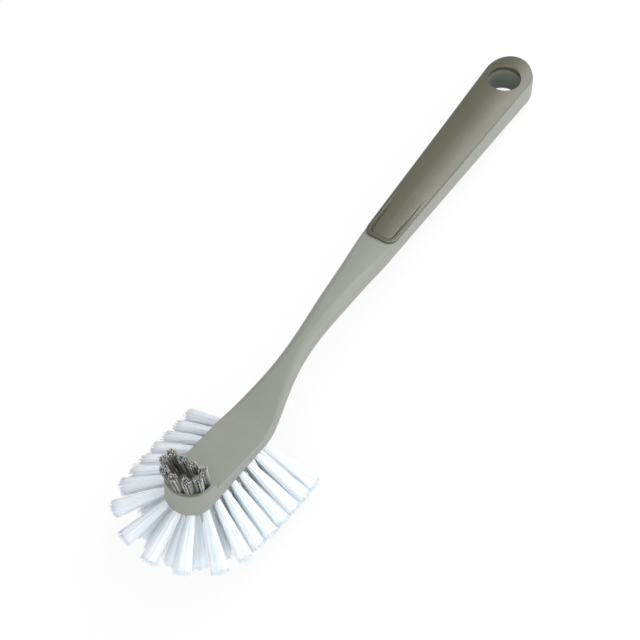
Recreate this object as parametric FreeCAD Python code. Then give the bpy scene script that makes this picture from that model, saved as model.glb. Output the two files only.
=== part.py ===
"""Dish brush: a moulded handle and head, a soft grip layer, and tufts held by metal anchors.

The design frame has x along the brush from the tip of the head to the end of the handle, y across
it and z away from the grip's face. Everything is made there, then the whole brush is laid down on
z = 0, on the tufts' ends and the end of the handle, with the origin below the middle of its box.
The head has a frame of its own, tilted up at the tip: along, across and up from the centre of the
tip's round on its top face.
"""

import FreeCAD
import Part
import math
import os

V = FreeCAD.Vector
X_AXIS = V(1, 0, 0)
Y_AXIS = V(0, 1, 0)
Z_AXIS = V(0, 0, 1)

# Overrun of every cutting tool
CUT = 1.0

# Handle
THUMB_X = 143.0
THUMB_HALF_WIDTH = 7.7
THUMB_DEPTH = 11.4
END_CENTRE_X = 256.3
END_HALF_WIDTH = 11.3
END_DEPTH = 14.7
RIDGE_RADIUS = 1.3
BELLY_RADIUS = 3.0
HANG_X = 252.2
HANG_RADIUS = 7.5
HANG_CHAMFER = 0.5

# Neck
NECK_LEVEL = 1.6
WAIST_X = 87.0
WAIST_HALF_WIDTH = 4.6
WAIST_DEPTH = 9.0
WAIST_RADIUS = 3.8

# Sections of the neck, from the head's root to the thumb end: place along that run, share of the
# widening from the waist to the head (before the waist) or to the thumb end, share of the rise
NECK_SHARES = [
    (0.0, 1.0, 0.0),
    (0.125, 0.8, -0.03),
    (0.25, 0.32, 0.325),
    (0.375, 0.02, 0.665),
    (0.5, 0.02, 0.87),
    (0.625, 0.28, 0.965),
    (0.75, 0.53, 0.997),
    (0.875, 0.79, 1.0),
    (1.0, 1.0, 1.0),
]

# Degree of the curves along the neck
NECK_DEGREE = 3

# Soft grip
GRIP_INSET = 0.6
GRIP_DEPTH = 2.6
CROWN_RADIUS = 36.0
GRIP_CORNER_RADIUS = 4.2
THUMB_LIP = 1.6
THUMB_SCOOP_LENGTH = 26.0
THUMB_SCOOP_DEPTH = 1.2
THUMB_SCOOP_CORNER = 2.8

# Head
TIP_CENTRE_X = 8.6
HEAD_DROP = 7.4
HEAD_TILT = 8.1
TOP_SLOPE = 4.0
HEAD_HALF_WIDTH = 10.3
HEAD_RUN = 36.4
HEAD_ROOT = 33.0
HEAD_WALL = 7.0
HEAD_EDGE_RADIUS = 0.6
SHOULDER_DROP = 4.0
SHOULDER_INSET = 2.2
UPPER_FACET_INSET = 2.1
UPPER_FACET_DEPTH = 3.5
LOWER_FACET_INSET = 3.1
LOWER_FACET_DEPTH = 2.2
GUARD_HEIGHT = 4.6
GUARD_WALL = 1.5
GUARD_REACH = 3.5
GUARD_SLOPE = 1.5

# Tuft holes, and the flat metal anchors that hold the folded tufts in them
HOLE_RADIUS = 1.2
HOLE_DEPTH = 4.4
GREY_HOLE_DEPTH = 3.4
TUFT_CLEARANCE = 0.04
TUFT_COLLAR = 0.9
ANCHOR_THICKNESS = 0.4
ANCHOR_HEIGHT = 1.5
TUFT_SIDES = 8

# White tufts of the upper row, which fans out round the head's edge
UPPER_TIP_COUNT = 5
UPPER_TIP_STEP = 37.0
UPPER_SIDE_COUNT = 7
UPPER_FIRST = 3.8
UPPER_PITCH = 5.4
UPPER_FRONT_LENGTH = 22.4
UPPER_SIDE_LENGTH = 26.0
UPPER_FRONT_DIP = 31.0
UPPER_SIDE_DIP = 27.0

# White tufts of the lower row, set between those of the upper row
LOWER_TIP_COUNT = 4
LOWER_SIDE_COUNT = 7
LOWER_FRONT_LENGTH = 22.0
LOWER_SIDE_LENGTH = 23.0
LOWER_DIP = 53.0

# White tufts of the middle row, straight down
MIDDLE_COUNT = 7
MIDDLE_FIRST = 0.5
MIDDLE_PITCH = 6.0
MIDDLE_LENGTH = 19.0

# Cut ends of the white tufts
TUFT_END_RADIUS = 2.9

# How far the side tufts lean towards the tip, at the front and at the rear of their row
LEAN_FRONT = 28.0
LEAN_REAR = -10.0

# Grey scouring tufts behind the guard: an arc along it and a straight row
GREY_ARC_COUNT = 5
GREY_ARC_STEP = 38.0
GREY_ARC_RADIUS = 6.4
GREY_ROW_COUNT = 4
GREY_ROW_ALONG = 2.6
GREY_ROW_PITCH = 3.8
GREY_LENGTH = 17.5
GREY_LEAN = 17.0
GREY_SPLAY = 7.0
GREY_END_RADIUS = 1.8

# Fineness of the points that the resting tilt is found from
REST_POINTS = 0.1

# Places that follow from the sizes above
HEAD_DEPTH = HEAD_WALL + UPPER_FACET_DEPTH + LOWER_FACET_DEPTH
HEAD_FRAME = FreeCAD.Placement(V(TIP_CENTRE_X, 0, -HEAD_DROP), FreeCAD.Rotation(Y_AXIS, HEAD_TILT))
ROOT_SINK = HEAD_ROOT * math.tan(math.radians(TOP_SLOPE))
ROOT = HEAD_FRAME.multVec(V(HEAD_ROOT, 0, -ROOT_SINK))
UPPER_ROOT = (HEAD_HALF_WIDTH - UPPER_FACET_INSET / 2, -HEAD_WALL - UPPER_FACET_DEPTH / 2)
LOWER_ROOT = (
    HEAD_HALF_WIDTH - UPPER_FACET_INSET - LOWER_FACET_INSET / 2,
    -HEAD_WALL - UPPER_FACET_DEPTH - LOWER_FACET_DEPTH / 2,
)


def mix(start, end, share):
    return start + (end - start) * share


def smooth(share):
    """Ease from 0 to 1."""
    return share * share * (3 - 2 * share)


def in_head_frame(shape):
    placed = shape.copy()
    placed.Placement = HEAD_FRAME.multiply(placed.Placement)
    return placed


def line(start, end):
    return Part.LineSegment(start, end).toShape()


def arc(start, middle, end):
    return Part.Arc(start, middle, end).toShape()


def round_edge(centre, radius, start, end):
    """Arc across the brush, between two angles in radians from straight up towards +y."""
    turns = (start, (start + end) / 2, end)
    return arc(*(centre + V(0, math.sin(turn), math.cos(turn)) * radius for turn in turns))


def section(x, half, top, bottom, upper, lower, crown):
    """Section across the brush at x, with round corners and a top edge of the given curvature."""
    turn = math.asin((half - upper) * crown / (1 - upper * crown))
    side = math.pi / 2
    below = math.pi
    corners = [
        (V(x, half - upper, top - upper), upper, turn, side),
        (V(x, half - lower, bottom + lower), lower, side, below),
        (V(x, lower - half, bottom + lower), lower, below, below + side),
        (V(x, upper - half, top - upper), upper, -side, -turn),
    ]
    rounds = [round_edge(*corner) for corner in corners]
    if crown:
        level = top - upper - (1 / crown - upper) * math.cos(turn)
        edges = [round_edge(V(x, 0, level), 1 / crown, -turn, turn)]
    else:
        edges = [line(rounds[3].lastVertex().Point, rounds[0].firstVertex().Point)]
    for before, after in zip(rounds, rounds[1:]):
        edges += [before, line(before.lastVertex().Point, after.firstVertex().Point)]
    return Part.Wire([*edges, rounds[3]])


def neck_section(place, width_share, rise_share):
    """Section of the neck; the corners are roundest at the waist."""
    x = mix(ROOT.x, THUMB_X, place)
    top = mix(ROOT.z, -NECK_LEVEL, rise_share)
    if x < WAIST_X:
        ease = smooth((x - ROOT.x) / (WAIST_X - ROOT.x))
        wall = (HEAD_WALL - ROOT_SINK) / math.cos(math.radians(HEAD_TILT))
        half = mix(WAIST_HALF_WIDTH, HEAD_HALF_WIDTH, width_share)
        deep = mix(wall, WAIST_DEPTH, ease)
        radius = mix(HEAD_EDGE_RADIUS, WAIST_RADIUS, math.sqrt(ease))
        return section(x, half, top, top - deep, radius, radius, ease / CROWN_RADIUS)
    late = ((x - WAIST_X) / (THUMB_X - WAIST_X)) ** 3
    half = mix(WAIST_HALF_WIDTH, THUMB_HALF_WIDTH, width_share)
    deep = mix(WAIST_DEPTH, THUMB_DEPTH - NECK_LEVEL, smooth((x - WAIST_X) / (THUMB_X - WAIST_X)))
    upper = mix(WAIST_RADIUS, RIDGE_RADIUS, late)
    lower = mix(WAIST_RADIUS, BELLY_RADIUS, late)
    return section(x, half, top, top - deep, upper, lower, 1 / CROWN_RADIUS)


def neck():
    """Neck, lofted from the head's root to the handle's own section at its thumb end."""
    return Part.makeLoft([neck_section(*row) for row in NECK_SHARES], True, False, False, NECK_DEGREE)


def handle_half(x):
    """Half-width of the handle before its round end."""
    return mix(THUMB_HALF_WIDTH, END_HALF_WIDTH, (x - THUMB_X) / (END_CENTRE_X - THUMB_X))


def handle():
    """Handle from the thumb end on: straight and slowly widening, then turned round its end."""
    crown = 1 / CROWN_RADIUS
    thumb = section(THUMB_X, THUMB_HALF_WIDTH, -NECK_LEVEL, -THUMB_DEPTH, RIDGE_RADIUS, BELLY_RADIUS, crown)
    end = section(END_CENTRE_X, END_HALF_WIDTH, -NECK_LEVEL, -END_DEPTH, RIDGE_RADIUS, BELLY_RADIUS, crown)
    straight = Part.makeLoft([thumb, end], True, True)
    corner = V(END_CENTRE_X - CUT, 0, -END_DEPTH - CUT)
    one_side = Part.makeBox(2 * CUT, END_HALF_WIDTH + CUT, END_DEPTH + CUT, corner)
    half_face = Part.Face(end).common(one_side).Faces[0]
    return straight.fuse(half_face.revolve(V(END_CENTRE_X, 0, 0), -Z_AXIS, 180))


def head_outline(up, inset):
    """Outline of the head in its own frame: straight sides, round at the tip and under the neck."""
    half = HEAD_HALF_WIDTH - inset
    edges = [
        arc(V(0, half, up), V(-half, 0, up), V(0, -half, up)),
        line(V(0, -half, up), V(HEAD_RUN, -half, up)),
        arc(V(HEAD_RUN, -half, up), V(HEAD_RUN + half, 0, up), V(HEAD_RUN, half, up)),
        line(V(HEAD_RUN, half, up), V(0, half, up)),
    ]
    return Part.Wire(edges)


def facet(high, low):
    """Band of the head between two outlines, each given as a height and an inset."""
    return Part.makeLoft([head_outline(*high), head_outline(*low)], True, True)


def top_level(along):
    """Height of the head's top face, which sinks slowly towards the root."""
    return -along * math.tan(math.radians(TOP_SLOPE))


def above_top():
    """Space above the head's top face."""
    wide = HEAD_HALF_WIDTH + CUT
    ends = [V(along, -wide, top_level(along)) for along in (-wide, HEAD_RUN + wide)]
    lift = V(0, 0, HEAD_WALL)
    corners = [ends[0], ends[1], ends[1] + lift, ends[0] + lift]
    return Part.Face(Part.makePolygon(corners + corners[:1])).extrude(V(0, 2 * wide, 0))


def tongue():
    """Flat-topped part of the head in front of its root, with a rounded top edge."""
    block = Part.Face(head_outline(-HEAD_WALL, 0)).extrude(V(0, 0, HEAD_WALL + CUT))
    block = block.cut(above_top())
    rim = [e for e in block.Edges if all(abs(v.Z - top_level(v.X)) < HEAD_EDGE_RADIUS for v in e.Vertexes)]
    block = in_head_frame(block.makeFillet(HEAD_EDGE_RADIUS, rim))
    wide = HEAD_HALF_WIDTH + CUT
    tall = 2 * (HEAD_DROP + HEAD_WALL + HEAD_RUN)
    behind = Part.makeBox(HEAD_RUN, 2 * wide, tall, V(ROOT.x, -wide, -tall / 2))
    return block.cut(behind)


def tuft_carrier():
    """Faceted underside of the head, and the shoulder that carries it on under the neck."""
    upper_end = (-HEAD_WALL - UPPER_FACET_DEPTH, UPPER_FACET_INSET)
    lower_end = (-HEAD_DEPTH, UPPER_FACET_INSET + LOWER_FACET_INSET)
    upper = facet((-HEAD_WALL, 0), upper_end)
    lower = facet(upper_end, lower_end)
    shoulder = facet((-SHOULDER_DROP, SHOULDER_INSET), (-HEAD_WALL, 0))
    return in_head_frame(shoulder.fuse([upper, lower]))


def guard():
    """Half-round wall round the tip, in front of the scouring tufts. Its ends slope down."""
    outer = HEAD_HALF_WIDTH
    inner = outer - GUARD_WALL
    low = -2 * HEAD_EDGE_RADIUS
    edges = [
        arc(V(0, outer, low), V(-outer, 0, low), V(0, -outer, low)),
        line(V(0, -outer, low), V(GUARD_REACH, -outer, low)),
        line(V(GUARD_REACH, -outer, low), V(GUARD_REACH, -inner, low)),
        line(V(GUARD_REACH, -inner, low), V(0, -inner, low)),
        arc(V(0, -inner, low), V(-inner, 0, low), V(0, inner, low)),
        line(V(0, inner, low), V(GUARD_REACH, inner, low)),
        line(V(GUARD_REACH, inner, low), V(GUARD_REACH, outer, low)),
        line(V(GUARD_REACH, outer, low), V(0, outer, low)),
    ]
    ring = Part.Face(Part.Wire(edges)).extrude(V(0, 0, GUARD_HEIGHT - low))
    wide = outer + CUT
    slope = [
        V(GUARD_REACH, -wide, 0),
        V(GUARD_REACH + CUT, -wide, 0),
        V(GUARD_REACH + CUT, -wide, 2 * GUARD_HEIGHT),
        V(GUARD_REACH - 2 * GUARD_SLOPE, -wide, 2 * GUARD_HEIGHT),
    ]
    wedge = Part.Face(Part.makePolygon(slope + slope[:1])).extrude(V(0, 2 * wide, 0))
    return in_head_frame(ring.cut(wedge))


def grip_prism(inset, corner):
    """Upright prism of the grip's outline, drawn in further by an inset, with its thumb end rounded."""
    start = THUMB_X + inset
    half = handle_half(start) - GRIP_INSET - inset
    end_half = END_HALF_WIDTH - GRIP_INSET - inset
    low = -GRIP_DEPTH
    touch = V(END_CENTRE_X, end_half, low)
    mirrored = V(END_CENTRE_X, -end_half, low)
    edges = [
        line(V(start, -half, low), V(start, half, low)),
        line(V(start, half, low), touch),
        arc(touch, V(END_CENTRE_X + end_half, 0, low), mirrored),
        line(mirrored, V(start, -half, low)),
    ]
    prism = Part.Face(Part.Wire(edges)).extrude(V(0, 0, GRIP_DEPTH + CUT))
    upright = [e for e in prism.Edges if e.BoundBox.XMax < start + CUT and e.BoundBox.ZLength > GRIP_DEPTH]
    return prism.makeFillet(corner, upright)


def grip_layer():
    """Soft layer of the handle, crowned across, with a thumb scoop that fades out up the handle."""
    crown = Part.makeCylinder(CROWN_RADIUS, 2 * END_CENTRE_X, V(0, 0, -CROWN_RADIUS), X_AXIS)
    layer = grip_prism(0, GRIP_CORNER_RADIUS).common(crown)
    sunk = crown.copy()
    fall = math.degrees(math.atan(THUMB_SCOOP_DEPTH / THUMB_SCOOP_LENGTH))
    sunk.rotate(V(THUMB_X + THUMB_LIP + THUMB_SCOOP_LENGTH, 0, 0), Y_AXIS, -fall)
    scoop = grip_prism(THUMB_LIP, THUMB_SCOOP_CORNER).cut(sunk)
    mouth = Part.makeCone(
        HANG_RADIUS, HANG_RADIUS + HANG_CHAMFER + CUT, HANG_CHAMFER + CUT, V(HANG_X, 0, -HANG_CHAMFER)
    )
    return layer.cut([scoop, hang_bore(), mouth])


def hang_bore():
    return Part.makeCylinder(HANG_RADIUS, 2 * END_DEPTH, V(HANG_X, 0, -END_DEPTH - CUT))


def hang_countersink():
    """Chamfer of the hang hole on the underside."""
    wide = HANG_RADIUS + HANG_CHAMFER + CUT
    return Part.makeCone(wide, HANG_RADIUS, HANG_CHAMFER + CUT, V(HANG_X, 0, -END_DEPTH - CUT))


def fan_place(ring, angle):
    """Root and fan direction, seen from above, at an angle either way from the tip."""
    radius, up = ring
    turn = math.radians(angle)
    root = V(-radius * math.cos(turn), radius * math.sin(turn), up)
    lean = math.radians(mix(90, LEAN_FRONT, abs(angle) / 90))
    side = 1 if angle > 0 else -1
    return root, V(-math.sin(lean), side * math.cos(lean), 0)


def side_place(ring, along, side):
    """Root and fan direction, seen from above, on a straight side of the head."""
    radius, up = ring
    lean = math.radians(mix(LEAN_FRONT, LEAN_REAR, along / HEAD_RUN))
    return V(along, side * radius, up), V(-math.sin(lean), side * math.cos(lean), 0)


def row_places(ring, tip_count, first, side_count):
    """Roots, fan directions and nearness to the tip of one row, from one side round to the other."""
    places = []
    for i in range(tip_count):
        angle = (i - (tip_count - 1) / 2) * UPPER_TIP_STEP
        places.append((*fan_place(ring, angle), math.cos(math.radians(angle))))
    for side in (-1, 1):
        for i in range(side_count):
            places.append((*side_place(ring, first + i * UPPER_PITCH, side), 0))
    return places


def dipped(flat, dip):
    """A level direction turned down by an angle."""
    turn = math.radians(dip)
    return flat * math.cos(turn) - Z_AXIS * math.sin(turn)


def upper_tufts():
    tufts = []
    for root, flat, front in row_places(UPPER_ROOT, UPPER_TIP_COUNT, UPPER_FIRST, UPPER_SIDE_COUNT):
        axis = dipped(flat, mix(UPPER_SIDE_DIP, UPPER_FRONT_DIP, front))
        tufts.append((root, axis, mix(UPPER_SIDE_LENGTH, UPPER_FRONT_LENGTH, front)))
    return tufts


def lower_tufts():
    tufts = []
    first = UPPER_FIRST - UPPER_PITCH / 2
    for root, flat, front in row_places(LOWER_ROOT, LOWER_TIP_COUNT, first, LOWER_SIDE_COUNT):
        length = mix(LOWER_SIDE_LENGTH, LOWER_FRONT_LENGTH, front)
        tufts.append((root, dipped(flat, LOWER_DIP), length))
    return tufts


def middle_tufts():
    roots = [V(MIDDLE_FIRST + i * MIDDLE_PITCH, 0, -HEAD_DEPTH) for i in range(MIDDLE_COUNT)]
    return [(root, -Z_AXIS, MIDDLE_LENGTH) for root in roots]


def grey_tufts():
    """Scouring tufts: they lean towards the tip and splay a little to the sides."""
    roots = []
    for i in range(GREY_ARC_COUNT):
        turn = math.radians((i - (GREY_ARC_COUNT - 1) / 2) * GREY_ARC_STEP)
        roots.append(V(-GREY_ARC_RADIUS * math.cos(turn), GREY_ARC_RADIUS * math.sin(turn), 0))
    for i in range(GREY_ROW_COUNT):
        roots.append(V(GREY_ROW_ALONG, (i - (GREY_ROW_COUNT - 1) / 2) * GREY_ROW_PITCH, 0))
    tufts = []
    for root in roots:
        forward = math.tan(math.radians(GREY_LEAN))
        aside = math.tan(math.radians(GREY_SPLAY)) * root.y / GREY_ARC_RADIUS
        tufts.append((root, V(-forward, aside, 1).normalize(), GREY_LENGTH))
    return tufts


def ring(centre, axis, wide, radius):
    """Corners of a regular polygon about an axis, the first half a side from the wide direction."""
    step = 360 / TUFT_SIDES
    turns = [FreeCAD.Rotation(axis, (i + 0.5) * step) for i in range(TUFT_SIDES)]
    return [centre + turn.multVec(wide) * radius for turn in turns]


def flat_solid(rings):
    """Solid with flat faces through rings of corners, closed at both ends."""
    outlines = [rings[0], rings[-1]]
    for low, high in zip(rings, rings[1:]):
        for i in range(TUFT_SIDES):
            j = (i + 1) % TUFT_SIDES
            outlines.append([low[i], low[j], high[j], high[i]])
    faces = [Part.Face(Part.makePolygon(outline + outline[:1])) for outline in outlines]
    return Part.makeSolid(Part.makeShell(faces))


def tuft_pieces(place, hole_depth, end_radius):
    """Tuft, its hole and its anchor, made in the head's frame from a root, an axis and a length."""
    root, axis, length = place
    wide = axis.cross(Y_AXIS if abs(axis.y) < abs(axis.z) else X_AXIS).normalize()
    bottom = root - axis * hole_depth
    hole = flat_solid(
        [ring(bottom, axis, wide, HOLE_RADIUS), ring(root + axis * TUFT_COLLAR, axis, wide, HOLE_RADIUS)]
    )
    root_radius = HOLE_RADIUS - TUFT_CLEARANCE
    anchor = Part.makeBox(ANCHOR_THICKNESS, 2 * root_radius, ANCHOR_HEIGHT)
    anchor.translate(V(-ANCHOR_THICKNESS / 2, -root_radius, 0))
    turn = FreeCAD.Rotation(wide.cross(axis), wide, axis, "ZXY")
    anchor.Placement = FreeCAD.Placement(bottom, turn).multiply(anchor.Placement)
    rings = [
        ring(bottom + axis * TUFT_CLEARANCE, axis, wide, root_radius),
        ring(root + axis * TUFT_COLLAR, axis, wide, root_radius),
        ring(root + axis * length, axis, wide, end_radius),
    ]
    tuft = flat_solid(rings).cut(anchor)
    return [in_head_frame(shape) for shape in (tuft, hole, anchor)]


def resting_placement(body, tufts):
    """Placement that lays the brush on its tufts' ends and its handle's end, box centred below."""
    body_points = body.tessellate(REST_POINTS)[0]
    tuft_points = [p for tuft in tufts for p in tuft.tessellate(REST_POINTS)[0]]
    level, steep = 0.0, 45.0
    for _ in range(40):
        tilt = (level + steep) / 2
        turn = FreeCAD.Rotation(Y_AXIS, tilt)
        gap = min(turn.multVec(p).z for p in body_points) - min(turn.multVec(p).z for p in tuft_points)
        level, steep = (tilt, steep) if gap > 0 else (level, tilt)
    points = [turn.multVec(p) for p in body_points + tuft_points]
    middle_x = (min(p.x for p in points) + max(p.x for p in points)) / 2
    low = min(p.z for p in points)
    return FreeCAD.Placement(V(-middle_x, 0, -low), turn)


def build():
    """All pieces by name, in the design frame."""
    pieces = {}
    holes, white_anchors, grey_anchors = [], [], []
    rows = [("upper_tuft", upper_tufts()), ("lower_tuft", lower_tufts()), ("middle_tuft", middle_tufts())]
    for name, places in rows:
        for i, place in enumerate(places):
            tuft, hole, anchor = tuft_pieces(place, HOLE_DEPTH, TUFT_END_RADIUS)
            pieces[f"{name}_{i + 1:02d}"] = tuft
            holes.append(hole)
            white_anchors.append(anchor)
    for i, place in enumerate(grey_tufts()):
        tuft, hole, anchor = tuft_pieces(place, GREY_HOLE_DEPTH, GREY_END_RADIUS)
        pieces[f"scour_tuft_{i + 1:02d}"] = tuft
        holes.append(hole)
        grey_anchors.append(anchor)
    body = tongue().fuse([tuft_carrier(), guard(), neck(), handle()]).removeSplitter()
    seat = grip_prism(0, GRIP_CORNER_RADIUS)
    body = body.cut([seat, hang_bore(), hang_countersink()]).cut(holes)
    pieces["handle_body"] = body
    pieces["grip_layer"] = grip_layer()
    pieces["tuft_anchors"] = Part.makeCompound(white_anchors)
    pieces["scour_anchors"] = Part.makeCompound(grey_anchors)
    return pieces


pieces = build()
tufts = [shape for name, shape in pieces.items() if "_tuft_" in name]
rest = resting_placement(pieces["handle_body"], tufts).toMatrix()
os.makedirs("parts", exist_ok=True)
for name, shape in pieces.items():
    shape.transformed(rest, copy=True).exportStep(f"parts/{name}.step")
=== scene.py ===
import math

import bpy
import numpy as np
from mathutils import Matrix, Vector


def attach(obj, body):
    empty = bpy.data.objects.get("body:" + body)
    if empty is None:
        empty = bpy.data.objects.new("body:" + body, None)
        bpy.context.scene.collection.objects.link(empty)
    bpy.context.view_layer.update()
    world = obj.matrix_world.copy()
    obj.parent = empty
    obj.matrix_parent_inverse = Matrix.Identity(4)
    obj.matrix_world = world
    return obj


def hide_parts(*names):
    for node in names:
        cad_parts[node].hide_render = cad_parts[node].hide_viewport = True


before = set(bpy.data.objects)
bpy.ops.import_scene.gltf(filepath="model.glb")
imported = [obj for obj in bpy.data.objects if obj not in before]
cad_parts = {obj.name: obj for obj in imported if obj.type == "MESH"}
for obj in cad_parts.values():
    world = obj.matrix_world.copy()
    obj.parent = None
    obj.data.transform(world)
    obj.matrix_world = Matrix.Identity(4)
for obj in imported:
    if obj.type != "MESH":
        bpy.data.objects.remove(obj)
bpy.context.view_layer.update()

MM = 0.001
FULL_TURN = 2 * math.pi
SEED = 7
RANDOM = np.random.default_rng(SEED)

# Camera: the point that it aims at, how far from it the camera stands, and its angles in degrees
CAMERA_TARGET = Vector((-20.75, 1.65, 25.0)) * MM
CAMERA_DISTANCE = 624.7 * MM
CAMERA_HEADING = 46.9
CAMERA_DIP = 60.68
CAMERA_ROLL = -11.65
CAMERA_FIELD = 24.0
CAMERA_NEAR = 10 * MM

# Soft lights: compass heading and height in degrees, distance and size in metres, and watts
LIGHTS = dict(
    overhead=dict(heading=-15, height=47, distance=1.22, size=0.75, watts=6.5),
    side=dict(heading=-80, height=18, distance=1.2, size=0.8, watts=3.2),
    front=dict(heading=-160, height=36, distance=1.2, size=1.0, watts=3.8),
)

# Surroundings: the way to their brighter side, their strength as light, and as the camera sees them
BRIGHT_SIDE = Vector((-0.2, -0.77, 0.6))
DIM_STRENGTH = 0.33
BRIGHT_STRENGTH = 0.95
SEEN_STRENGTH = 0.96

# Floor: the lift is the share of white in what the camera sees of it
FLOOR_SIZE = 6.0
FLOOR_LOW = (0.88, 0.88, 0.88)
FLOOR_HIGH = (0.91, 0.91, 0.91)
FLOOR_CLOUD_SCALE = 30.0
FLOOR_ROUGHNESS = 0.9
FLOOR_GLOSS = 0.1
FLOOR_LIFT = 0.85

# Moulded pieces, and the metal anchors: two close colours, range of roughness, grain and its height, gloss,
# rounding of the edges, and the share of the colour that is left in creases by painted shade
PLASTIC = dict(
    low=(0.245, 0.261, 0.225),
    high=(0.263, 0.279, 0.243),
    roughness=(0.38, 0.48),
    grain=2600.0,
    grain_height=0.04 * MM,
    gloss=0.45,
    edge=0.35 * MM,
    crease_shade=0.8,
)
RUBBER = dict(
    low=(0.067, 0.066, 0.033),
    high=(0.077, 0.076, 0.041),
    roughness=(0.36, 0.44),
    grain=3200.0,
    grain_height=0.05 * MM,
    gloss=1.0,
    edge=0.12 * MM,
    crease_shade=0.65,
    rim=True,
)
ANCHOR = dict(
    low=(0.5, 0.5, 0.5),
    high=(0.6, 0.6, 0.6),
    roughness=(0.3, 0.4),
    grain=900.0,
    grain_height=0.02 * MM,
    gloss=0.5,
    edge=0.1 * MM,
    crease_shade=0.8,
)
NOISE_ROUGHNESS = 0.55
CLOUD_SCALE = 55.0
CLOUD_DETAIL = 5.0
CLOUD_SPAN = (0.3, 0.7)
GLOSS_SCALE = 260.0
GLOSS_DETAIL = 4.0
GRAIN_DETAIL = 3.0
GRAIN_STRENGTH = 0.35
EDGE_SAMPLES = 6
# Painted shade in creases: samples, reach and range of the occlusion that darkens the colour
CREASE_SAMPLES = 8
CREASE_DEPTH = 1.2 * MM
CREASE_START = 0.45
CREASE_END = 0.95

# Thumb scoop in the grip: the handle's direction, and the scoop's outline seen from above
HANDLE_WAY = Vector((0.991216, 0.0, -0.132257))
SCOOP_START = 19.67 * MM
SCOOP_HALF_WIDTH = 5.55 * MM
SCOOP_WIDENING = 0.0318
SCOOP_CORNER = 2.8 * MM
# Its rim: how far in the groove and how far out the bead reach, their height, where they fade out, and their
# profile as pairs of place and height, in which the level is the height of the surface round the rim
RIM_GROOVE = -1.2 * MM
RIM_BEAD = 1.4 * MM
RIM_HEIGHT = 0.7 * MM
RIM_FADE_START = 10.0 * MM
RIM_FADE_END = 25.0 * MM
RIM_LEVEL = 0.5
RIM_PROFILE = ((0.08, RIM_LEVEL), (0.33, 0.15), (0.63, 1.0), (0.96, RIM_LEVEL))

# Filaments: darkest and lightest colour, range of roughness, and the share of light that passes through
WHITE_LOOK = dict(
    low=(0.82, 0.90, 0.97),
    high=(0.90, 0.95, 0.99),
    roughness=(0.5, 0.65),
    through=0.1,
    metallic=0.0,
)
GREY_LOOK = dict(
    # Near black: the darkest tone of the grey filaments, and partly painted shade for the dark gaps between
    # them
    low=(0.01, 0.01, 0.008),
    high=(0.74, 0.74, 0.71),
    roughness=(0.25, 0.4),
    through=0.05,
    metallic=0.4,
)
MOTTLE_SCALE = 900.0
MOTTLE_DETAIL = 3.0
MOTTLE_SHARE = 0.35
SHADE_SPAN = (0.1, 1.0)

# Tufts: count and radius of the filaments, rings along each, height and length of the crimp, unevenness of
# the cut ends, radius at the foot, width of the loose ends as a share of the CAD tuft's, and shade and width
# of the inner body
WHITE = dict(
    count=84,
    radius=0.17 * MM,
    steps=8,
    wave=0.08 * MM,
    wave_length=6.0 * MM,
    trim=0.5 * MM,
    foot_radius=1.3 * MM,
    opening_share=1.3,
    core_shade=0.75,
    core_share=0.95,
)
LOWER_WHITE = dict(WHITE, opening_share=1.55)
GREY = dict(
    count=72,
    radius=0.15 * MM,
    steps=22,
    wave=0.15 * MM,
    wave_length=2.4 * MM,
    trim=0.7 * MM,
    foot_radius=1.35 * MM,
    opening_share=1.04,
    # The grey inner body's shade lies below the colour ramp, so it is near black: painted shade for the dark
    # gaps inside the tuft
    core_shade=-0.6,
    core_share=0.8,
)
# Shares of a tuft's length where its filaments start, inside the hole, and where they start to open
TUFT_START = 0.08
OPENING_START = 0.15
OPENING_POWER = 0.85
# Single filaments: sides, scatter round the tuft, range of opening, rounding of the cut, and stray bend
FILAMENT_SIDES = 5
TURN_STEP = math.pi * (3 - math.sqrt(5))
TURN_SCATTER = 0.15
OPENING_LEAST = 0.9
OPENING_MOST = 1.03
TRIM_ROUNDING = 0.6
CRIMP_POWER = 0.3
BEND = 0.2 * MM
BEND_POWER = 2
# Inner body of a tuft, where its filaments lie side by side: its ridges, how much their shades differ, the
# share of the length where its domed end starts, and the dome's length and width
CORE_SIDES = 40
CORE_RIDGE = 0.025
CORE_RIDGE_LEAST = 0.4
CORE_SHADE_SPREAD = 0.5
CORE_END = 0.93
CORE_DOME = 0.02
CORE_DOME_WIDTH = 0.6
# Sag of the upper tufts' loose ends: none up to the first place along the brush, all of it from the second on
SAG_LEFT = 5.5 * MM
SAG_RIGHT = 3.0 * MM
SAG_START = -114 * MM
SAG_FULL = -86 * MM
# Directions to measure across a tuft from: upwards, sideways where it is steep, and one that no filament has
UPWARDS = (0, 0, 1)
SIDEWAYS = (0, 1, 0)
ASKEW = (0.31, 0.53, 0.79)
STEEP = 0.8


def new_material(name):
    """A new material, with its nodes, its links and its shader."""
    material = bpy.data.materials.new(name)
    material.use_nodes = True
    nodes = material.node_tree.nodes
    return material, nodes, material.node_tree.links, nodes["Principled BSDF"]


def feed(links, socket, value):
    """Set a socket to a plain number, or link another socket to it."""
    if isinstance(value, (int, float)):
        socket.default_value = value
    else:
        links.new(value, socket)


def noise(nodes, links, place, scale, detail):
    """Cloudy noise from 0 to 1."""
    node = nodes.new("ShaderNodeTexNoise")
    node.inputs["Scale"].default_value = scale
    node.inputs["Detail"].default_value = detail
    node.inputs["Roughness"].default_value = NOISE_ROUGHNESS
    links.new(place, node.inputs["Vector"])
    return node.outputs["Fac"]


def ramp(nodes, links, source, low, high, span):
    """Colour ramp between two colours over part of the source's range."""
    node = nodes.new("ShaderNodeValToRGB")
    for element, position, colour in zip(node.color_ramp.elements, span, (low, high)):
        element.position = position
        element.color = (*colour, 1)
    links.new(source, node.inputs["Fac"])
    return node.outputs["Color"]


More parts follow.
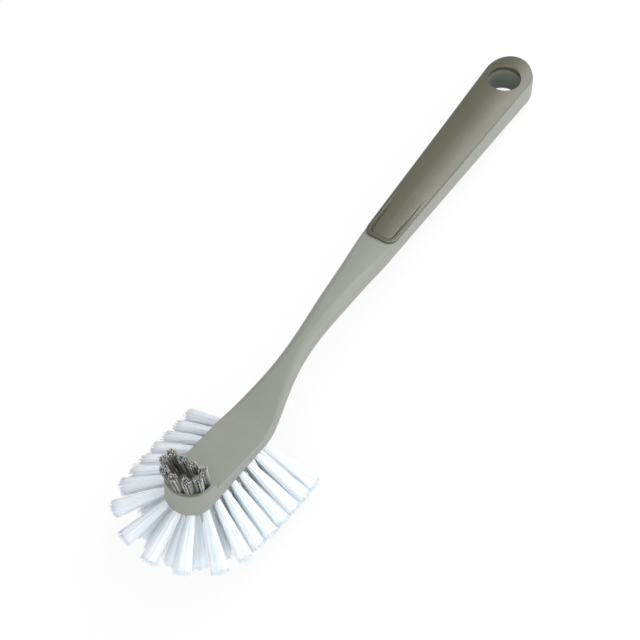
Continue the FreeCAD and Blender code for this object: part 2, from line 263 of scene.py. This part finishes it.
def spread(nodes, links, source, low, high, start=0.0, end=1.0):
    """Map a source from start..end to low..high."""
    node = nodes.new("ShaderNodeMapRange")
    for name, value in (("From Min", start), ("From Max", end), ("To Min", low), ("To Max", high)):
        node.inputs[name].default_value = value
    links.new(source, node.inputs["Value"])
    return node.outputs["Result"]


def reach_along(nodes, links, source, direction):
    """Reach of a vector along a direction."""
    node = nodes.new("ShaderNodeVectorMath")
    node.operation = "DOT_PRODUCT"
    node.inputs[1].default_value = direction
    links.new(source, node.inputs[0])
    return node.outputs["Value"]


def bump(nodes, links, height, strength, distance, normal):
    """Bump on top of another normal."""
    node = nodes.new("ShaderNodeBump")
    node.inputs["Strength"].default_value = strength
    node.inputs["Distance"].default_value = distance
    links.new(height, node.inputs["Height"])
    links.new(normal, node.inputs["Normal"])
    return node.outputs["Normal"]


def edge_rounding(nodes, radius):
    """Normal that rounds off the edges."""
    node = nodes.new("ShaderNodeBevel")
    node.samples = EDGE_SAMPLES
    node.inputs["Radius"].default_value = radius
    return node.outputs["Normal"]


def maths(nodes, links, operation, *values):
    """Math node on sockets and plain numbers."""
    node = nodes.new("ShaderNodeMath")
    node.operation = operation
    for socket, value in zip(node.inputs, values):
        feed(links, socket, value)
    return node.outputs["Value"]


def blend_shaders(nodes, links, share, first, second):
    """Surface of two shaders, with a share of the second."""
    node = nodes.new("ShaderNodeMixShader")
    feed(links, node.inputs["Fac"], share)
    links.new(first, node.inputs[1])
    links.new(second, node.inputs[2])
    links.new(node.outputs["Shader"], nodes["Material Output"].inputs["Surface"])


def outside_scoop(nodes, links, place, reach):
    """Distance outwards from the scoop's outline drawn in by its corner radius, below zero inside."""
    apart = nodes.new("ShaderNodeSeparateXYZ")
    links.new(place, apart.inputs["Vector"])
    aside = maths(nodes, links, "ABSOLUTE", apart.outputs["Y"])
    half = maths(nodes, links, "MULTIPLY_ADD", reach, SCOOP_WIDENING, SCOOP_HALF_WIDTH - SCOOP_CORNER)
    out_side = maths(nodes, links, "SUBTRACT", aside, half)
    out_front = maths(nodes, links, "SUBTRACT", SCOOP_CORNER, reach)
    corner = nodes.new("ShaderNodeCombineXYZ")
    links.new(maths(nodes, links, "MAXIMUM", out_side, 0.0), corner.inputs["X"])
    links.new(maths(nodes, links, "MAXIMUM", out_front, 0.0), corner.inputs["Y"])
    length = nodes.new("ShaderNodeVectorMath")
    length.operation = "LENGTH"
    links.new(corner.outputs["Vector"], length.inputs[0])
    inside = maths(nodes, links, "MINIMUM", maths(nodes, links, "MAXIMUM", out_side, out_front), 0.0)
    return maths(nodes, links, "ADD", length.outputs["Value"], inside)


def thumb_rim(nodes, links, place):
    """Height of the bead round the thumb scoop and of the groove inside it, which fade out up the handle."""
    reach = maths(nodes, links, "SUBTRACT", reach_along(nodes, links, place, HANDLE_WAY), SCOOP_START)
    outside = outside_scoop(nodes, links, place, reach)
    across = spread(nodes, links, outside, 0.0, 1.0, SCOOP_CORNER + RIM_GROOVE, SCOOP_CORNER + RIM_BEAD)
    profile = nodes.new("ShaderNodeValToRGB")
    profile.color_ramp.interpolation = "EASE"
    while len(profile.color_ramp.elements) < len(RIM_PROFILE):
        profile.color_ramp.elements.new(RIM_LEVEL)
    for element, (position, level) in zip(profile.color_ramp.elements, RIM_PROFILE):
        element.position = position
        element.color = (level, level, level, 1)
    links.new(across, profile.inputs["Fac"])
    rise = maths(nodes, links, "SUBTRACT", profile.outputs["Color"], RIM_LEVEL)
    fade = spread(nodes, links, reach, 0.0, 1.0, RIM_FADE_END, RIM_FADE_START)
    return maths(nodes, links, "MULTIPLY", rise, fade)


def creases(nodes, links, colour, darkest):
    """Painted shade: darken a colour where the surface folds inwards, as shade falls at the foot of a step.
    """
    shade = nodes.new("ShaderNodeAmbientOcclusion")
    shade.samples = CREASE_SAMPLES
    shade.only_local = True
    shade.inputs["Distance"].default_value = CREASE_DEPTH
    share = spread(nodes, links, shade.outputs["AO"], darkest, 1.0, CREASE_START, CREASE_END)
    mixed = nodes.new("ShaderNodeMix")
    mixed.data_type = "RGBA"
    mixed.blend_type = "MULTIPLY"
    mixed.inputs["Factor"].default_value = 1.0
    links.new(colour, mixed.inputs["A"])
    links.new(share, mixed.inputs["B"])
    return mixed.outputs["Result"]


def moulded(name, low, high, roughness, grain, grain_height, gloss, edge, crease_shade, rim=False):
    """Moulded surface: slight clouding, uneven gloss, a fine grain, softened edges and painted shade in
    creases.
    """
    material, nodes, links, shader = new_material(name)
    place = nodes.new("ShaderNodeTexCoord").outputs["Object"]
    cloud = noise(nodes, links, place, CLOUD_SCALE, CLOUD_DETAIL)
    colour = ramp(nodes, links, cloud, low, high, CLOUD_SPAN)
    # Painted shade: the colour is darkened where the surface folds inwards
    links.new(creases(nodes, links, colour, crease_shade), shader.inputs["Base Color"])
    uneven = noise(nodes, links, place, GLOSS_SCALE, GLOSS_DETAIL)
    links.new(spread(nodes, links, uneven, *roughness), shader.inputs["Roughness"])
    shader.inputs["Specular IOR Level"].default_value = gloss
    normal = edge_rounding(nodes, edge)
    if rim:
        normal = bump(nodes, links, thumb_rim(nodes, links, place), 1.0, RIM_HEIGHT, normal)
    fine = noise(nodes, links, place, grain, GRAIN_DETAIL)
    links.new(bump(nodes, links, fine, GRAIN_STRENGTH, grain_height, normal), shader.inputs["Normal"])
    return material


def filament(name, low, high, roughness, through, metallic):
    """Extruded filament: each one a little lighter or darker, and finely mottled."""
    material, nodes, links, shader = new_material(name)
    shade = nodes.new("ShaderNodeAttribute")
    shade.attribute_name = "shade"
    place = nodes.new("ShaderNodeTexCoord").outputs["Object"]
    mottle = noise(nodes, links, place, MOTTLE_SCALE, MOTTLE_DETAIL)
    tone = maths(nodes, links, "MULTIPLY_ADD", mottle, MOTTLE_SHARE, shade.outputs["Fac"])
    colour = ramp(nodes, links, tone, low, high, SHADE_SPAN)
    links.new(colour, shader.inputs["Base Color"])
    links.new(spread(nodes, links, mottle, *roughness), shader.inputs["Roughness"])
    shader.inputs["Metallic"].default_value = metallic
    passed = nodes.new("ShaderNodeBsdfTranslucent")
    links.new(colour, passed.inputs["Color"])
    blend_shaders(nodes, links, through, shader.outputs["BSDF"], passed.outputs["BSDF"])
    return material


def tuft_axes(node):
    """Foot of a CAD tuft, unit vectors along and across it, its length and its radius at the end."""
    corners = np.array([v.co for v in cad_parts[node].data.vertices])
    middle = corners.mean(axis=0)
    along = np.linalg.svd(corners - middle, full_matrices=False)[2][0]
    reach = (corners - middle) @ along
    aside = np.linalg.norm(corners - middle - np.outer(reach, along), axis=1)
    if aside[np.argmax(reach)] < aside[np.argmin(reach)]:
        along, reach = -along, -reach
    side = np.cross(along, UPWARDS if abs(along[2]) < STEEP else SIDEWAYS)
    side /= np.linalg.norm(side)
    axes = (along, side, np.cross(along, side))
    return middle + along * reach.min(), axes, reach.max() - reach.min(), aside[np.argmax(reach)]


def tuft_sag(node, foot):
    """How far a tuft's loose end hangs below the straight one."""
    if not node.startswith("upper"):
        return 0.0
    most = SAG_LEFT if foot[1] > 0 else SAG_RIGHT
    return most * np.clip((foot[0] - SAG_START) / (SAG_FULL - SAG_START), 0, 1)


def ring_faces(rings, sides):
    """Faces of a tube of rings, closed at its last one."""
    faces = []
    for i in range(rings - 1):
        for j in range(sides):
            k = (j + 1) % sides
            a, b = i * sides, (i + 1) * sides
            faces.append((a + j, a + k, b + k, b + j))
    faces.append(tuple((rings - 1) * sides + j for j in range(sides)))
    return faces


def filament_tube(path, radius):
    """Corners and faces of a thin tube along a path, closed at its free end."""
    tangent = np.gradient(path, axis=0)
    tangent /= np.linalg.norm(tangent, axis=1)[:, None]
    side = np.cross(tangent, ASKEW)
    side /= np.linalg.norm(side, axis=1)[:, None]
    other = np.cross(tangent, side)
    turns = np.arange(FILAMENT_SIDES) * FULL_TURN / FILAMENT_SIDES
    rings = path[:, None] + radius * (
        np.cos(turns)[None, :, None] * side[:, None] + np.sin(turns)[None, :, None] * other[:, None]
    )
    return rings.reshape(-1, 3), ring_faces(len(path), FILAMENT_SIDES)


def core_body(foot, axes, length, radii, sag):
    """Inner body of a tuft: ridged like filaments that lie side by side, and domed at its end."""
    along, side, other = axes
    shares = np.append(np.linspace(TUFT_START, CORE_END, len(radii)), CORE_END + CORE_DOME)
    radii = np.append(radii, CORE_DOME_WIDTH * radii[-1])
    places = np.arange(CORE_SIDES)
    turns = places * FULL_TURN / CORE_SIDES
    ridge = 1 + CORE_RIDGE * np.where(places % 2, 1, -1) * RANDOM.uniform(CORE_RIDGE_LEAST, 1, CORE_SIDES)
    around = np.outer(np.cos(turns) * ridge, side) + np.outer(np.sin(turns) * ridge, other)
    middle = foot + np.outer(shares * length, along) - np.outer(shares**2, (0, 0, sag))
    rings = middle[:, None] + radii[:, None, None] * around
    return rings.reshape(-1, 3), ring_faces(len(shares), CORE_SIDES)


def bundle(
    node,
    material,
    slot,
    count,
    radius,
    steps,
    wave,
    wave_length,
    trim,
    foot_radius,
    opening_share,
    core_shade,
    core_share,
):
    """One tuft as a bundle of filaments that starts in its hole and opens out to the CAD tuft's end."""
    foot, axes, length, end_radius = tuft_axes(node)
    along, side, other = axes
    end_radius *= opening_share
    sag = tuft_sag(node, foot)
    share = np.linspace(TUFT_START, 1.0, steps)
    opening = np.clip((share - OPENING_START) / (1 - OPENING_START), 0, 1) ** OPENING_POWER
    body_radii = foot_radius + (end_radius - foot_radius) * opening[: steps - 1]
    body, faces = core_body(foot, axes, length, core_share * body_radii, sag)
    ridge_shades = core_shade + CORE_SHADE_SPREAD * (RANDOM.random(CORE_SIDES) - 0.5)
    corners = [body]
    shades = [np.tile(ridge_shades, len(body) // CORE_SIDES)]
    total = len(body)
    for i in range(count):
        out = math.sqrt((i + 0.5) / count)
        turn = i * TURN_STEP + RANDOM.normal(0, TURN_SCATTER)
        out_way = math.cos(turn) * side + math.sin(turn) * other
        reach = length - trim * RANDOM.random() - TRIM_ROUNDING * trim * out * out
        wide = end_radius * RANDOM.uniform(OPENING_LEAST, OPENING_MOST)
        path = foot + np.outer(share * reach, along) - np.outer(share**2, (0, 0, sag))
        path += np.outer(out * (foot_radius + (wide - foot_radius) * opening), out_way)
        phase, way = RANDOM.uniform(0, FULL_TURN, 2)
        crimp = wave * np.sin(share * reach * FULL_TURN / wave_length + phase) * opening**CRIMP_POWER
        stray = RANDOM.normal(0, BEND) * opening**BEND_POWER
        path += np.outer(crimp + stray, math.cos(way) * side + math.sin(way) * other)
        tube, tube_faces = filament_tube(path, radius)
        faces += [tuple(total + v for v in face) for face in tube_faces]
        total += len(tube)
        corners.append(tube)
        shades.append(np.full(len(tube), RANDOM.random()))
    mesh = bpy.data.meshes.new(f"bundle_{node}")
    mesh.from_pydata(np.concatenate(corners).tolist(), [], faces)
    mesh.shade_smooth()
    mesh.attributes.new("shade", "FLOAT", "POINT").data.foreach_set("value", np.concatenate(shades))
    mesh.materials.append(material)
    piece = bpy.data.objects.new(f"bundle_{node}", mesh)
    bpy.context.scene.collection.objects.link(piece)
    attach(piece, "root")
    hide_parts(node)


def paint(node, material):
    """Give a CAD node its material."""
    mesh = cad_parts[node].data
    mesh.materials.clear()
    mesh.materials.append(material)


def camera():
    """Camera from a heading, a dip, a roll and a distance."""
    heading, dip, roll = (math.radians(a) for a in (CAMERA_HEADING, CAMERA_DIP, CAMERA_ROLL))
    right = Vector((math.cos(heading), -math.sin(heading), 0))
    ahead = Vector((math.sin(heading), math.cos(heading), 0))
    forward = ahead * math.cos(dip) - Vector(UPWARDS) * math.sin(dip)
    up = ahead * math.sin(dip) + Vector(UPWARDS) * math.cos(dip)
    image_right = right * math.cos(roll) + up * math.sin(roll)
    image_up = up * math.cos(roll) - right * math.sin(roll)
    data = bpy.data.cameras.new("camera")
    data.angle = math.radians(CAMERA_FIELD)
    data.clip_start = CAMERA_NEAR
    view = bpy.data.objects.new("camera", data)
    turn = Matrix((image_right, image_up, -forward)).transposed()
    view.matrix_world = Matrix.Translation(CAMERA_TARGET - forward * CAMERA_DISTANCE) @ turn.to_4x4()
    bpy.context.scene.collection.objects.link(view)
    bpy.context.scene.camera = view


def area_light(name, heading, height, distance, size, watts):
    """Square soft light aimed at the brush, from a compass heading and a height angle."""
    data = bpy.data.lights.new(name, "AREA")
    data.energy = watts
    data.size = size
    lamp = bpy.data.objects.new(name, data)
    turn, lift = math.radians(heading), math.radians(height)
    away = Vector((math.cos(turn) * math.cos(lift), math.sin(turn) * math.cos(lift), math.sin(lift)))
    lamp.location = away * distance
    lamp.rotation_euler = (-away).to_track_quat("-Z", "Y").to_euler()
    bpy.context.scene.collection.objects.link(lamp)


def floor():
    """Pale floor, lifted most of the way to white where the camera sees it, so that its shadow is faint."""
    material, nodes, links, shader = new_material("floor")
    place = nodes.new("ShaderNodeTexCoord").outputs["Object"]
    cloud = noise(nodes, links, place, FLOOR_CLOUD_SCALE, CLOUD_DETAIL)
    links.new(ramp(nodes, links, cloud, FLOOR_LOW, FLOOR_HIGH, CLOUD_SPAN), shader.inputs["Base Color"])
    shader.inputs["Roughness"].default_value = FLOOR_ROUGHNESS
    shader.inputs["Specular IOR Level"].default_value = FLOOR_GLOSS
    white = nodes.new("ShaderNodeEmission")
    seen = nodes.new("ShaderNodeLightPath").outputs["Is Camera Ray"]
    lift = maths(nodes, links, "MULTIPLY", seen, FLOOR_LIFT)
    blend_shaders(nodes, links, lift, shader.outputs["BSDF"], white.outputs["Emission"])
    bpy.ops.mesh.primitive_plane_add(size=FLOOR_SIZE)
    plane = bpy.context.object
    plane.name = "floor"
    plane.data.materials.append(material)


def surroundings():
    """White surroundings: even where the camera sees them, and as light brighter on one side."""
    world = bpy.data.worlds.new("world")
    world.use_nodes = True
    nodes, links = world.node_tree.nodes, world.node_tree.links
    way = nodes.new("ShaderNodeTexCoord").outputs["Generated"]
    facing = reach_along(nodes, links, way, BRIGHT_SIDE)
    strength = spread(nodes, links, facing, DIM_STRENGTH, BRIGHT_STRENGTH, -1.0, 1.0)
    mixed = nodes.new("ShaderNodeMix")
    mixed.inputs["B"].default_value = SEEN_STRENGTH
    links.new(nodes.new("ShaderNodeLightPath").outputs["Is Camera Ray"], mixed.inputs["Factor"])
    links.new(strength, mixed.inputs["A"])
    background = nodes["Background"]
    background.inputs["Color"].default_value = (1, 1, 1, 1)
    links.new(mixed.outputs["Result"], background.inputs["Strength"])
    bpy.context.scene.world = world


paint("handle_body", moulded("plastic", **PLASTIC))
paint("grip_layer", moulded("rubber", **RUBBER))
anchor = moulded("anchor", **ANCHOR)
paint("tuft_anchors", anchor)
paint("scour_anchors", anchor)

white = filament("white_filament", **WHITE_LOOK)
grey = filament("grey_filament", **GREY_LOOK)
for node in sorted(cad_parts):
    if node.startswith("scour_tuft"):
        bundle(node, grey, "grey_bristle", **GREY)
    elif node.startswith("lower_tuft"):
        bundle(node, white, "white_bristle", **LOWER_WHITE)
    elif "_tuft_" in node:
        bundle(node, white, "white_bristle", **WHITE)

camera()
floor()
surroundings()
for name, light in LIGHTS.items():
    area_light(name, **light)
bpy.context.scene.view_settings.view_transform = "Standard"
